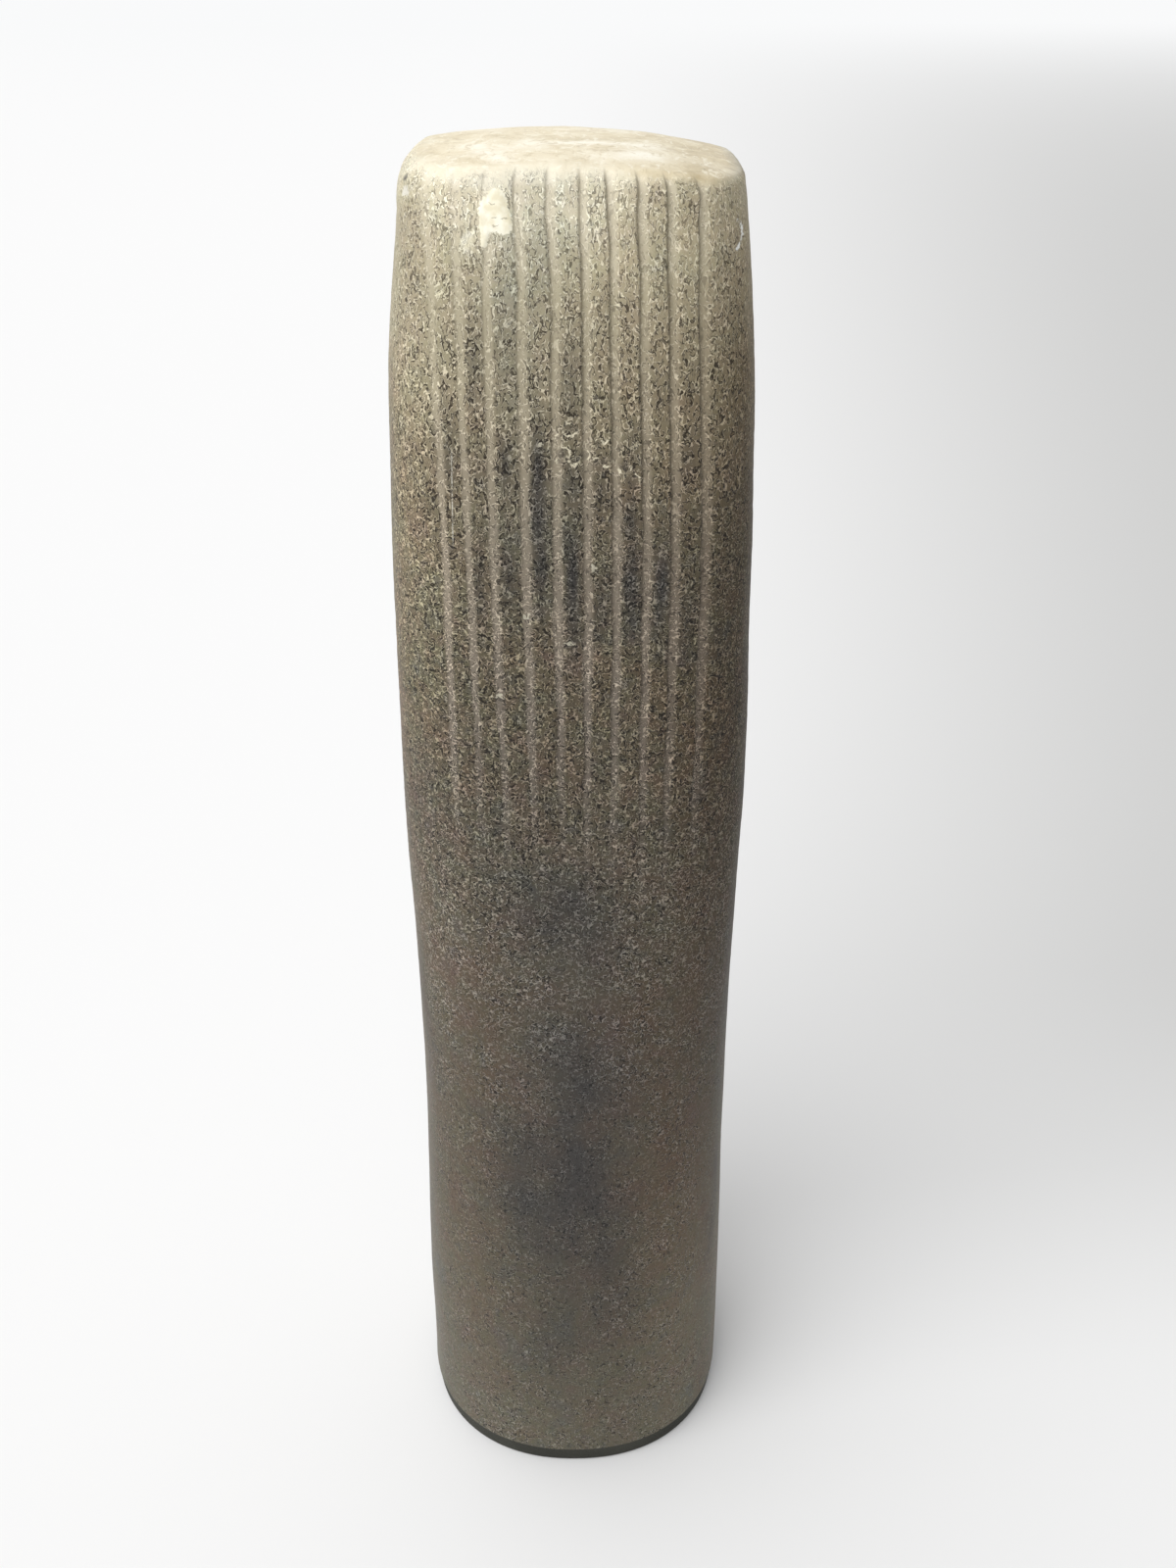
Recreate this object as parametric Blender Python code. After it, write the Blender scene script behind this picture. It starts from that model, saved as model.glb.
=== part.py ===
"""Grooved stone pounder: one bar of stone, ground to shape, standing on its foot.

Frame: metres, +Z up, origin at the centre of the resting face.  The grooved
face looks towards -Y.  The section is nearly elliptical at the foot and turns
into a rounded square at the head.  Ten shallow grooves run down the front face
from the rim of the crown and die out a little below the middle of the bar.
Each groove is steep on its -X side and ramps up again towards +X; the ones at
-X are the most worn.  The crown is a shallow dome with a rounded rim, broadly
rounded at -X and nearly sharp at +X.
"""

import math

import bmesh
import bpy

# ---------------------------------------------------------------- dimensions
# Foot: the flat resting face stops short of the arris all round.
FOOT_RISE = 0.0037             # height of the arris
FOOT_IN = 0.0005               # how far the foot tucks in under the arris

# Outline of the bar: height, half width (X), half depth (Y) and squareness of
# the section (2 is an ellipse, larger is squarer).
STATIONS = (
    (FOOT_RISE, 0.0311, 0.0320, 2.2),   # arris of the foot
    (0.0302, 0.0310, 0.0318, 2.2),      # foot of the grip
    (0.0682, 0.0302, 0.0311, 2.3),      # grip
    (0.1022, 0.0300, 0.0308, 2.5),      # waist
    (0.1472, 0.0304, 0.0310, 2.9),      # lower end of the grooves
    (0.1872, 0.0297, 0.0304, 3.4),      # grooved face
    (0.2172, 0.0287, 0.0295, 3.8),      # head
    (0.2457, 0.0261, 0.0279, 4.0),      # below the rim
    (0.2532, 0.0251, 0.0272, 4.0),      # rim
)
AXIS_DRIFT = 0.0003            # the bar's middle wanders this far to +X above the foot
HEAD_DRIFT = 0.0002            # and this much more at the head

# Crown: a shallow dome whose top lies a little to -X of the axis.
CROWN_TOP = 0.25575
CROWN_TOP_X = -0.0025
CROWN_FALL_LEFT = 2.75         # fall of the dome, per squared metre
CROWN_FALL_RIGHT = 4.45
CROWN_FALL_DEPTH = 2.7
RIM_FRONT = (0.0026, 0.0032)   # rounding of the rim: in, down
RIM_LEFT = (0.0048, 0.0080)
RIM_RIGHT = (0.0013, 0.0019)
RIM_FULL_LEFT = 0.76           # below 1 the rounding is fuller than a quarter ellipse
RIM_AT = 0.2502                # height whose section sets the rim's plan
BODY_TOP = 0.2385              # rings are level up to here

# Grooves of the front face.
GROOVE_COUNT = 10
GROOVE_PITCH_TOP = 0.00432
GROOVE_PITCH_LOW = 0.00441
GROOVE_MID_LOW = 0.00065       # middle of the set at its lower end
GROOVE_LEAN = 0.0018           # how far the set leans towards -X at the top
GROOVE_BOW = 0.0010            # how far the third groove bows towards -X
GROOVE_SECTION = (             # offset from the middle line, share of the depth
    (-0.00095, 0.00),
    (-0.00055, 1.00),
    (0.00005, 0.85),
    (0.00095, 0.00),
)
GROOVE_DEPTH = 0.0007
GROOVE_WORN = 0.35             # share of that depth left in the first groove
GROOVE_END_LEFT = 0.1440       # height where the first groove has died out
GROOVE_END_RIGHT = 0.1320      # height where the last groove has died out
GROOVE_FADE = 0.0320           # length over which a groove comes to full depth
GROOVE_TOP_Z = 0.2482
GROOVE_LOW_Z = 0.1492

# Fineness of the surface.
FRONT_LIMIT = 0.88             # share of the half width that the front strip takes
MARGIN_POINTS = 2              # points between the grooves and either end of the strip
BACK_POINTS = 46
LOWER_RINGS = 9
UPPER_RINGS = 14
SHOULDER_RINGS = 3
RIM_RINGS = 6
CROWN_RINGS = 4


# ------------------------------------------------------------------ outline
def monotone_slopes(xs, ys):
    """Slopes of a smooth curve through the points that adds no bulges."""
    count = len(xs)
    secants = [(ys[i + 1] - ys[i]) / (xs[i + 1] - xs[i]) for i in range(count - 1)]
    slopes = [secants[0]]
    for i in range(1, count - 1):
        left, right = secants[i - 1], secants[i]
        slopes.append(0.0 if left * right <= 0.0 else 2.0 * left * right / (left + right))
    slopes.append(secants[-1])
    return slopes


def smooth_through(xs, ys):
    slopes = monotone_slopes(xs, ys)

    def curve(x):
        x = min(max(x, xs[0]), xs[-1])
        i = 0
        while i < len(xs) - 2 and x > xs[i + 1]:
            i += 1
        step = xs[i + 1] - xs[i]
        t = (x - xs[i]) / step
        return (
            (2 * t**3 - 3 * t**2 + 1) * ys[i]
            + (t**3 - 2 * t**2 + t) * step * slopes[i]
            + (3 * t**2 - 2 * t**3) * ys[i + 1]
            + (t**3 - t**2) * step * slopes[i + 1]
        )

    return curve


HEIGHTS = [s[0] for s in STATIONS]
half_width = smooth_through(HEIGHTS, [s[1] for s in STATIONS])
half_depth = smooth_through(HEIGHTS, [s[2] for s in STATIONS])
squareness = smooth_through(HEIGHTS, [s[3] for s in STATIONS])


def smoothstep(t):
    t = min(max(t, 0.0), 1.0)
    return t * t * (3.0 - 2.0 * t)


def drift(z):
    return AXIS_DRIFT * smoothstep((z - 0.032) / 0.06) + HEAD_DRIFT * smoothstep((z - 0.225) / 0.02)


def crown_z(x, y):
    fall = CROWN_FALL_LEFT if x < CROWN_TOP_X else CROWN_FALL_RIGHT
    return CROWN_TOP - fall * (x - CROWN_TOP_X) ** 2 - CROWN_FALL_DEPTH * y**2


# ------------------------------------------------------------------ grooves
def groove_x(k, z):
    """Distance of groove k's middle line from the bar's axis, at height z."""
    t = (min(max(z, GROOVE_LOW_Z), GROOVE_TOP_Z) - GROOVE_LOW_Z) / (GROOVE_TOP_Z - GROOVE_LOW_Z)
    middle = GROOVE_MID_LOW - GROOVE_LEAN * t**3
    pitch = GROOVE_PITCH_LOW + (GROOVE_PITCH_TOP - GROOVE_PITCH_LOW) * t
    bow = GROOVE_BOW * math.exp(-(((k - 2.2) / 1.8) ** 2)) * 4.0 * t * (1.0 - t)
    return middle + (k - (GROOVE_COUNT - 1) / 2) * pitch - bow


def groove_depth(k, z):
    across = k / (GROOVE_COUNT - 1)
    end = GROOVE_END_LEFT + (GROOVE_END_RIGHT - GROOVE_END_LEFT) * across
    worn = min(1.0, GROOVE_WORN + (1.0 - GROOVE_WORN) * (across / 0.67) ** 2)
    return GROOVE_DEPTH * worn * smoothstep((z - end) / GROOVE_FADE)


# ------------------------------------------------------- columns round the bar
# The columns go counter-clockwise, seen from above: the front strip from -X to
# +X, then the sides and the back.
STRIP_POINTS = 2 * MARGIN_POINTS + GROOVE_COUNT * len(GROOVE_SECTION)
COLUMNS = STRIP_POINTS + BACK_POINTS


def column(i, z, groove_share=1.0):
    """Place of column i at height z, as (x, y)."""
    a, b, n = half_width(z), half_depth(z), squareness(z)
    limit = FRONT_LIMIT * a

    def front_y(x):
        return -b * (1.0 - abs(x / a) ** n) ** (1.0 / n)

    if i >= STRIP_POINTS:
        # By equal turns about the axis, from one end of the strip to the other.
        start = math.atan2(front_y(limit), limit)
        turn = start + (math.pi - 2.0 * start) * (i - STRIP_POINTS) / (BACK_POINTS - 1)
        c, s = math.cos(turn), math.sin(turn)
        radius = (abs(c / a) ** n + abs(s / b) ** n) ** (-1.0 / n)
        return radius * c, radius * s

    first = groove_x(0, z) + GROOVE_SECTION[0][0]
    last = groove_x(GROOVE_COUNT - 1, z) + GROOVE_SECTION[-1][0]
    depth = 0.0
    if i < MARGIN_POINTS:
        x = -limit + (first + limit) * (i + 1) / (MARGIN_POINTS + 1)
    elif i >= STRIP_POINTS - MARGIN_POINTS:
        x = last + (limit - last) * (i - STRIP_POINTS + MARGIN_POINTS + 1) / (MARGIN_POINTS + 1)
    else:
        k, part = divmod(i - MARGIN_POINTS, len(GROOVE_SECTION))
        offset, share = GROOVE_SECTION[part]
        x = groove_x(k, z) + offset
        depth = groove_depth(k, z) * share * groove_share
    return x, front_y(x) + depth


def rim_of(i):
    """How far the rim rounds in and down at column i, and the fullness of its rounding."""
    widest, deepest = half_width(RIM_AT), half_depth(RIM_AT)
    x, y = column(i, RIM_AT, 0.0)
    across = (x / widest) ** 2 / ((x / widest) ** 2 + (y / deepest) ** 2)
    share = smoothstep((across - 0.25) / 0.6)
    side = RIM_LEFT if x < 0.0 else RIM_RIGHT
    rim_in, rim_down = [front + (end - front) * share for front, end in zip(RIM_FRONT, side)]
    full = 1.0 + (RIM_FULL_LEFT - 1.0) * share if x < 0.0 else 1.0
    return rim_in, rim_down, full


def all_rings():
    """Rings of (x, y, z) from the resting face to the crown."""
    rings = []

    def level(z, scale=1.0, at=None):
        at = z if at is None else at
        places = [column(i, z) for i in range(COLUMNS)]
        rings.append([(x * scale + drift(at), y * scale, at) for x, y in places])

    # Foot and sides.
    level(FOOT_RISE, 1.0 - FOOT_IN / half_width(FOOT_RISE), 0.0)
    for i in range(LOWER_RINGS):
        level(FOOT_RISE + (GROOVE_END_RIGHT - FOOT_RISE) * i / LOWER_RINGS)
    for i in range(UPPER_RINGS + 1):
        level(GROOVE_END_RIGHT + (BODY_TOP - GROOVE_END_RIGHT) * i / UPPER_RINGS)

    # Every column rises to its own shoulder, rounds over the rim, where the
    # grooves run out, and goes on over the dome.
    rows = [[] for _ in range(SHOULDER_RINGS + RIM_RINGS + CROWN_RINGS)]
    for i in range(COLUMNS):
        rim_in, rim_down, full = rim_of(i)
        x, y = column(i, RIM_AT, 0.0)
        edge = 1.0 - rim_in / math.hypot(x, y)
        shoulder = crown_z(x * edge, y * edge) - rim_down
        row = 0
        for s in range(1, SHOULDER_RINGS + 1):
            z = BODY_TOP + (shoulder - BODY_TOP) * s / SHOULDER_RINGS
            x, y = column(i, z)
            rows[row].append((x + drift(z), y, z))
            row += 1
        x, y = column(i, shoulder, 0.0)
        edge = 1.0 - rim_in / math.hypot(x, y)
        drop = crown_z(x, y) - shoulder
        for s in range(1, RIM_RINGS + 1):
            t = s / RIM_RINGS
            px, py = column(i, shoulder, 1.0 - smoothstep((t - 0.3) / 0.6))
            scale = 1.0 - (1.0 - edge) * (1.0 - math.cos(t * math.pi / 2) ** full)
            z = crown_z(px * scale, py * scale) - drop * (1.0 - math.sin(t * math.pi / 2) ** full)
            rows[row].append((px * scale + drift(z), py * scale, z))
            row += 1
        for s in range(1, CROWN_RINGS + 1):
            scale = edge * (1.0 - s / (CROWN_RINGS + 1))
            z = crown_z(x * scale, y * scale)
            rows[row].append((x * scale + drift(z), y * scale, z))
            row += 1
    return rings + rows


# ------------------------------------------------------------------- object
def stone_material():
    material = bpy.data.materials.new("ground_stone")
    material.use_nodes = True
    shader = material.node_tree.nodes["Principled BSDF"]
    shader.inputs["Base Color"].default_value = (0.150, 0.130, 0.100, 1.0)
    shader.inputs["Roughness"].default_value = 0.72
    shader.inputs["Metallic"].default_value = 0.0
    return material


def main():
    for old in list(bpy.data.objects):
        bpy.data.objects.remove(old, do_unlink=True)

    mesh = bpy.data.meshes.new("pounder_stone")
    shape = bmesh.new()
    loops = [[shape.verts.new(point) for point in points] for points in all_rings()]
    shape.faces.new(list(reversed(loops[0])))
    for low, high in zip(loops, loops[1:]):
        for i in range(COLUMNS):
            j = (i + 1) % COLUMNS
            shape.faces.new((low[i], low[j], high[j], high[i]))
    top = crown_z(0.0, 0.0)
    apex = shape.verts.new((drift(top), 0.0, top))
    for i in range(COLUMNS):
        j = (i + 1) % COLUMNS
        shape.faces.new((loops[-1][i], loops[-1][j], apex))
    bmesh.ops.recalc_face_normals(shape, faces=shape.faces)
    shape.to_mesh(mesh)
    shape.free()

    stone = bpy.data.objects.new("pounder_stone", mesh)
    bpy.context.scene.collection.objects.link(stone)
    mesh.materials.append(stone_material())
    mesh.shade_smooth()
    mesh.set_sharp_from_angle(angle=math.radians(35.0))


main()
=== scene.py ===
"""Looks of the grooved stone pounder: a fine carved stone surface, its finish, floor, light and camera."""

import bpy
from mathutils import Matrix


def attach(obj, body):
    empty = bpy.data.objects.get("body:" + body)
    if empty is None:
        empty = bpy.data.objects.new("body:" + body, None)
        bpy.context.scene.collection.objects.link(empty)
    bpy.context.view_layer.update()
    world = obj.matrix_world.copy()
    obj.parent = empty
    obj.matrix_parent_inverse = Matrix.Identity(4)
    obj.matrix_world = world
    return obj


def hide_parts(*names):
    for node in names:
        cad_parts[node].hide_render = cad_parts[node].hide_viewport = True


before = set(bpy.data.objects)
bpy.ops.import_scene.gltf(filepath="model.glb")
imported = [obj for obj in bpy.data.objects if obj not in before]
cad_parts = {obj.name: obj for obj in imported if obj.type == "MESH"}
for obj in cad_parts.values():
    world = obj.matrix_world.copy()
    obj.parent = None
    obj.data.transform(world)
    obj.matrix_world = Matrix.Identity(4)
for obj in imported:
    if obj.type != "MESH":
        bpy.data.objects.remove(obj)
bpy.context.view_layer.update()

import math

import bpy
import numpy as np
from mathutils import Euler, Vector

MM = 0.001

# ------------------------------------------------------------ outline of the bar (as the solid)
# Height, half width, half depth, squareness of the section.
FOOT_RISE = 0.0037            # height of the arris above the floor
FOOT_IN = 0.0005              # how far the foot tucks in under the arris
STATIONS = (
    (FOOT_RISE, 0.0311, 0.0320, 2.2),
    (0.0302, 0.0310, 0.0318, 2.2),
    (0.0682, 0.0302, 0.0311, 2.3),
    (0.1022, 0.0300, 0.0308, 2.5),
    (0.1472, 0.0304, 0.0310, 2.9),
    (0.1872, 0.0297, 0.0304, 3.4),
    (0.2172, 0.0287, 0.0295, 3.8),
    (0.2457, 0.0261, 0.0279, 4.0),
    (0.2532, 0.0251, 0.0272, 4.0),
)
AXIS_DRIFT = 0.0003           # the bar's middle wanders this far to +X above the foot
HEAD_DRIFT = 0.0002           # and this much more at the head

# Crown: a shallow dome whose top lies left of the axis, and a rounded rim.
CROWN_TOP = 0.25575
CROWN_TOP_X = -0.0025
CROWN_FALL_LEFT = 2.75        # fall of the dome per squared metre
CROWN_FALL_RIGHT = 4.45
CROWN_FALL_DEPTH = 2.7
RIM_FRONT = (0.0026, 0.0032)  # rounding of the rim: in, down
RIM_LEFT = (0.0048, 0.0080)
RIM_RIGHT = (0.0013, 0.0019)
RIM_FULL_LEFT = 0.76          # below 1 the rounding is fuller than a quarter ellipse
BODY_TOP = 0.2385             # rings are level up to here

# Grooves of the front face.
GROOVE_COUNT = 10
GROOVE_WIDTH = 0.00175
GROOVE_DEPTH = 0.00060
GROOVE_END_LEFT = 0.1440
GROOVE_END_RIGHT = 0.1320
GROOVE_FADE = 0.0420
# Middle lines of the hand-cut grooves: where each crosses four heights, in mm from the axis.
GROOVE_LINES_AT = (0.1492, 0.1942, 0.2377, 0.2482)
GROOVE_LINES = (
    (-19.4, -19.3, -20.2, -20.6),
    (-15.1, -15.6, -16.2, -16.3),
    (-10.8, -11.9, -12.0, -11.7),
    (-6.4, -6.9, -7.1, -7.4),
    (-1.8, -2.2, -2.3, -3.0),
    (2.1, 2.4, 2.1, 1.5),
    (6.4, 6.8, 5.9, 5.4),
    (11.3, 11.4, 10.2, 9.8),
    (15.3, 15.7, 14.3, 13.8),
    (20.3, 20.6, 18.8, 18.3),
)
# How deep each groove is cut, as a share of the full depth: the left ones are more worn.
GROOVE_SHARE = (0.24, 0.28, 0.34, 0.44, 0.56, 0.74, 0.92, 1.00, 1.00, 1.00)

# Fineness of the fine mesh: columns within each groove's pitch, close together at its steep side.
PITCH_COLUMNS = (-0.50, -0.43, -0.36, -0.30, -0.255, -0.215, -0.18, -0.145, -0.105, -0.05, 0.02, 0.10, 0.19, 0.29, 0.39)
SIDE_COLUMNS = 156
LOWER_STEP = 0.00160
UPPER_STEP = 0.00060
GROOVE_ZONE = 0.1310
SHOULDER_RINGS = 18
RIM_RINGS = 12
CROWN_RINGS = 14


# ------------------------------------------------------------ small tools
def smoothstep(t):
    t = np.clip(t, 0.0, 1.0)
    return t * t * (3.0 - 2.0 * t)


def smooth_through(xs, ys):
    """A smooth curve through the points that adds no bulges."""
    xs, ys = np.asarray(xs, float), np.asarray(ys, float)
    step = np.diff(xs)
    secant = np.diff(ys) / step
    slope = np.zeros_like(ys)
    slope[0], slope[-1] = secant[0], secant[-1]
    for i in range(1, len(xs) - 1):
        left, right = secant[i - 1], secant[i]
        slope[i] = 0.0 if left * right <= 0.0 else 2.0 * left * right / (left + right)

    def curve(x):
        x = np.clip(np.asarray(x, float), xs[0], xs[-1])
        i = np.clip(np.searchsorted(xs, x, side="right") - 1, 0, len(xs) - 2)
        t = (x - xs[i]) / step[i]
        return (
            (2 * t**3 - 3 * t**2 + 1) * ys[i]
            + (t**3 - 2 * t**2 + t) * step[i] * slope[i]
            + (3 * t**2 - 2 * t**3) * ys[i + 1]
            + (t**3 - t**2) * step[i] * slope[i + 1]
        )

    return curve


def lattice(ix, iy, iz, seed):
    """A fixed whole number for each lattice point."""
    h = (
        ix.astype(np.uint32) * np.uint32(374761393)
        + iy.astype(np.uint32) * np.uint32(668265263)
        + iz.astype(np.uint32) * np.uint32(2246822519)
        + np.uint32((seed * 3266489917) & 0xFFFFFFFF)
    )
    h = (h ^ (h >> np.uint32(15))) * np.uint32(2246822519)
    h = (h ^ (h >> np.uint32(13))) * np.uint32(3266489917)
    return h ^ (h >> np.uint32(16))


def noise(points, size, seed):
    """Gradient noise, about -1 to 1, with features of the given size."""
    p = points / size
    cell = np.floor(p).astype(np.int64)
    f = p - cell
    w = f * f * f * (f * (f * 6.0 - 15.0) + 10.0)
    total = np.zeros(len(points))
    for dx in (0, 1):
        for dy in (0, 1):
            for dz in (0, 1):
                h = lattice(cell[:, 0] + dx, cell[:, 1] + dy, cell[:, 2] + dz, seed)
                gx = (h & np.uint32(1023)).astype(float) / 511.5 - 1.0
                gy = ((h >> np.uint32(10)) & np.uint32(1023)).astype(float) / 511.5 - 1.0
                gz = ((h >> np.uint32(20)) & np.uint32(1023)).astype(float) / 511.5 - 1.0
                weight = (
                    (w[:, 0] if dx else 1.0 - w[:, 0])
                    * (w[:, 1] if dy else 1.0 - w[:, 1])
                    * (w[:, 2] if dz else 1.0 - w[:, 2])
                )
                total += weight * (
                    gx * (f[:, 0] - dx) + gy * (f[:, 1] - dy) + gz * (f[:, 2] - dz)
                )
    return total * 1.5


def layered(points, size, seed, layers=3, fall=0.5):
    total, scale = np.zeros(len(points)), 1.0
    for i in range(layers):
        total += scale * noise(points, size / 2.0**i, seed + 17 * i)
        scale *= fall
    return total


def waver(z, k, length):
    """A slow wander along a hand-cut line, about -1 to 1, its own for each k."""
    a = 2.0 * math.pi * z / length
    return (
        0.55 * np.sin(a + 1.7 * k)
        + 0.30 * np.sin(2.17 * a + 2.9 * k + 0.6)
        + 0.20 * np.sin(4.31 * a + 4.1 * k + 1.9)
    )


HEIGHTS = [s[0] for s in STATIONS]
half_width = smooth_through(HEIGHTS, [s[1] for s in STATIONS])
half_depth = smooth_through(HEIGHTS, [s[2] for s in STATIONS])
squareness = smooth_through(HEIGHTS, [s[3] for s in STATIONS])
groove_lines = [smooth_through(GROOVE_LINES_AT, [v * MM for v in row]) for row in GROOVE_LINES]


def groove_x(k, z):
    return groove_lines[k](z) + 0.00016 * waver(z, k, 0.021)


# ------------------------------------------------------------ the stone's surface, ring by ring
def columns_of_front():
    all_u = np.array([k + offset for k in range(GROOVE_COUNT) for offset in PITCH_COLUMNS] + [GROOVE_COUNT - 0.5])
    return all_u[(all_u >= -0.46) & (all_u <= GROOVE_COUNT - 0.54)]


FRONT_U = columns_of_front()
COLUMNS = len(FRONT_U) + SIDE_COLUMNS


def drift(z):
    return AXIS_DRIFT * smoothstep((z - 0.032) / 0.06) + HEAD_DRIFT * smoothstep((z - 0.225) / 0.02)


def ring(z):
    """(x, y) round the bar; z is one height, or a height for each column."""
    z = np.broadcast_to(np.asarray(z, float), (COLUMNS,))
    front = len(FRONT_U)
    a, b, n = half_width(z), half_depth(z), squareness(z)

    def front_xy(u, zz, aa, bb, nn):
        knots = np.array([groove_x(k, zz) for k in range(GROOVE_COUNT)])
        base = np.clip(np.floor(u).astype(int), 0, GROOVE_COUNT - 2)
        pick = np.arange(len(u))
        x = knots[base, pick] + (u - base) * (knots[base + 1, pick] - knots[base, pick])
        return x, -bb * (1.0 - np.abs(x / aa) ** nn) ** (1.0 / nn)

    x, y = front_xy(FRONT_U, z[:front], a[:front], b[:front], n[:front])
    side = slice(front, COLUMNS)
    ones = np.ones(SIDE_COLUMNS)
    xs, ys = front_xy(FRONT_U[-1] * ones, z[side], a[side], b[side], n[side])
    xe, ye = front_xy(FRONT_U[0] * ones, z[side], a[side], b[side], n[side])
    start = np.arctan2(ys, xs)
    end = np.arctan2(ye, xe) + 2.0 * math.pi
    turn = start + (end - start) * np.arange(1, SIDE_COLUMNS + 1) / (SIDE_COLUMNS + 1)
    c, s = np.cos(turn), np.sin(turn)
    radius = (np.abs(c / a[side]) ** n[side] + np.abs(s / b[side]) ** n[side]) ** (-1.0 / n[side])
    return np.concatenate([x, radius * c]), np.concatenate([y, radius * s])


def crown_z(x, y):
    fall = np.where(x < CROWN_TOP_X, CROWN_FALL_LEFT, CROWN_FALL_RIGHT)
    return CROWN_TOP - fall * (x - CROWN_TOP_X) ** 2 - CROWN_FALL_DEPTH * y**2


def plain_grid():
    """Points of the smooth bar, the share of groove depth in each ring, and for each
    point how far it lies past the start of the rim's rounding (1 where the dome starts)."""
    rows, share, past = [], [], []

    def add(x, y, z, s, over):
        z = np.broadcast_to(np.asarray(z, float), x.shape)
        rows.append(np.stack([x + drift(z), y, z], axis=1))
        share.append(s)
        past.append(np.broadcast_to(np.asarray(over, float), x.shape))

    # Rim: how far it rounds in and down at each column.
    x, y = ring(0.2502)
    across = (x / np.abs(x).max()) ** 2 / ((x / np.abs(x).max()) ** 2 + (y / np.abs(y).max()) ** 2)
    across = smoothstep((across - 0.25) / 0.6)
    side_in = np.where(x < 0, RIM_LEFT[0], RIM_RIGHT[0])
    side_up = np.where(x < 0, RIM_LEFT[1], RIM_RIGHT[1])
    rim_in = RIM_FRONT[0] + (side_in - RIM_FRONT[0]) * across
    rim_up = RIM_FRONT[1] + (side_up - RIM_FRONT[1]) * across
    full = np.where(x < 0, 1.0 + (RIM_FULL_LEFT - 1.0) * across, 1.0)
    edge_scale = 1.0 - rim_in / np.hypot(x, y)
    shoulder = crown_z(x * edge_scale, y * edge_scale) - rim_up
    rim_length = 0.75 * (rim_in + rim_up)

    # Underside, and the foot up to its arris.
    x, y = ring(FOOT_RISE)
    width = float(half_width(FOOT_RISE))
    for inset, z in (
        (0.020, 0.0), (0.010, 0.0), (0.005, 0.0), (FOOT_IN + 0.0002, 0.0),
        (FOOT_IN, 0.0002), (FOOT_IN * 0.66, 0.0014), (FOOT_IN * 0.32, 0.0027), (FOOT_IN * 0.06, FOOT_RISE - 0.0003),
    ):
        scale = 1.0 - inset / width
        add(x * scale, y * scale, z, 0.0, -99.0)

    # Sides.
    lower = int(round((GROOVE_ZONE - FOOT_RISE) / LOWER_STEP))
    upper = int(round((BODY_TOP - GROOVE_ZONE) / UPPER_STEP))
    for z in np.concatenate([
        [FOOT_RISE, FOOT_RISE + 0.0003],
        np.linspace(FOOT_RISE + 0.0010, GROOVE_ZONE, lower, endpoint=False),
        np.linspace(GROOVE_ZONE, BODY_TOP, upper + 1),
    ]):
        x, y = ring(z)
        add(x, y, z, 1.0, (z - shoulder) / rim_length)

    # Every column rises to its own shoulder, then rounds over onto the dome.
    for i in range(1, SHOULDER_RINGS + 1):
        z = BODY_TOP + (shoulder - BODY_TOP) * i / SHOULDER_RINGS
        x, y = ring(z)
        add(x, y, z, 1.0, (z - shoulder) / rim_length)
    edge_scale = 1.0 - rim_in / np.hypot(x, y)
    drop = crown_z(x, y) - shoulder
    for i in range(1, RIM_RINGS + 1):
        t = i / RIM_RINGS
        scale = 1.0 - (1.0 - edge_scale) * (1.0 - math.cos(t * math.pi / 2) ** full)
        z = crown_z(x * scale, y * scale) - drop * (1.0 - math.sin(t * math.pi / 2) ** full)
        add(x * scale, y * scale, z, float(1.0 - smoothstep((t - 0.30) / 0.60)), t)

    # Crown.
    for i in range(1, CROWN_RINGS + 1):
        s = 1.0 - i / (CROWN_RINGS + 1)
        cx, cy = x * edge_scale * s, y * edge_scale * s
        add(cx, cy, crown_z(cx, cy), 0.0, 1.0 + (1.0 - s) * np.hypot(x, y) / rim_length)
    return np.array(rows), np.array(share), np.array(past)


def grid_normals(grid):
    around = np.roll(grid, -1, axis=1) - np.roll(grid, 1, axis=1)
    along = np.gradient(grid, axis=0)
    normal = np.cross(around, along)
    return normal / np.maximum(np.linalg.norm(normal, axis=2, keepdims=True), 1e-12)


def spot(points, centre, radii):
    """Distance from a centre, 1 on the ellipsoid of the given radii (all mm)."""
    d = (points / MM - np.array(centre)) / np.array(radii)
    return np.sqrt((d**2).sum(axis=1))


# ------------------------------------------------------------ marks on the stone, in mm
# Dark stains on the ridges of the upper face: x, z, half width, half height, strength.
RIDGE_STAINS = (
    (-18.2, 215.8, 1.3, 8.0, 0.60),
    (-13.9, 226.4, 1.2, 5.0, 0.55),
    (-13.6, 211.2, 1.3, 7.0, 0.45),
    (-9.7, 227.7, 1.2, 4.5, 0.55),
    (-9.5, 215.4, 1.2, 7.0, 0.65),
    (-5.0, 208.9, 1.2, 9.5, 0.95),
    (-5.0, 219.5, 1.2, 4.0, 0.35),
    (0.1, 224.7, 1.4, 6.5, 0.40),
    (0.4, 210.5, 1.3, 4.5, 0.50),
    (4.5, 209.3, 1.2, 4.5, 0.50),
    (8.8, 214.7, 1.2, 3.5, 0.50),
    (8.7, 204.0, 1.2, 4.0, 0.60),
    (17.6, 214.2, 1.2, 2.4, 0.45),
    (-13.9, 194.0, 1.1, 9.0, 0.50),
    (-9.5, 196.5, 1.3, 8.0, 0.55),
    (-4.5, 196.1, 1.3, 8.0, 0.70),
    (0.2, 193.9, 1.2, 9.0, 1.00),
    (4.4, 191.9, 1.3, 5.5, 0.80),
    (9.1, 193.7, 1.3, 7.0, 0.90),
    (13.7, 194.2, 1.2, 7.5, 0.75),
    (18.2, 188.2, 1.3, 5.0, 0.65),
)
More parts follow.
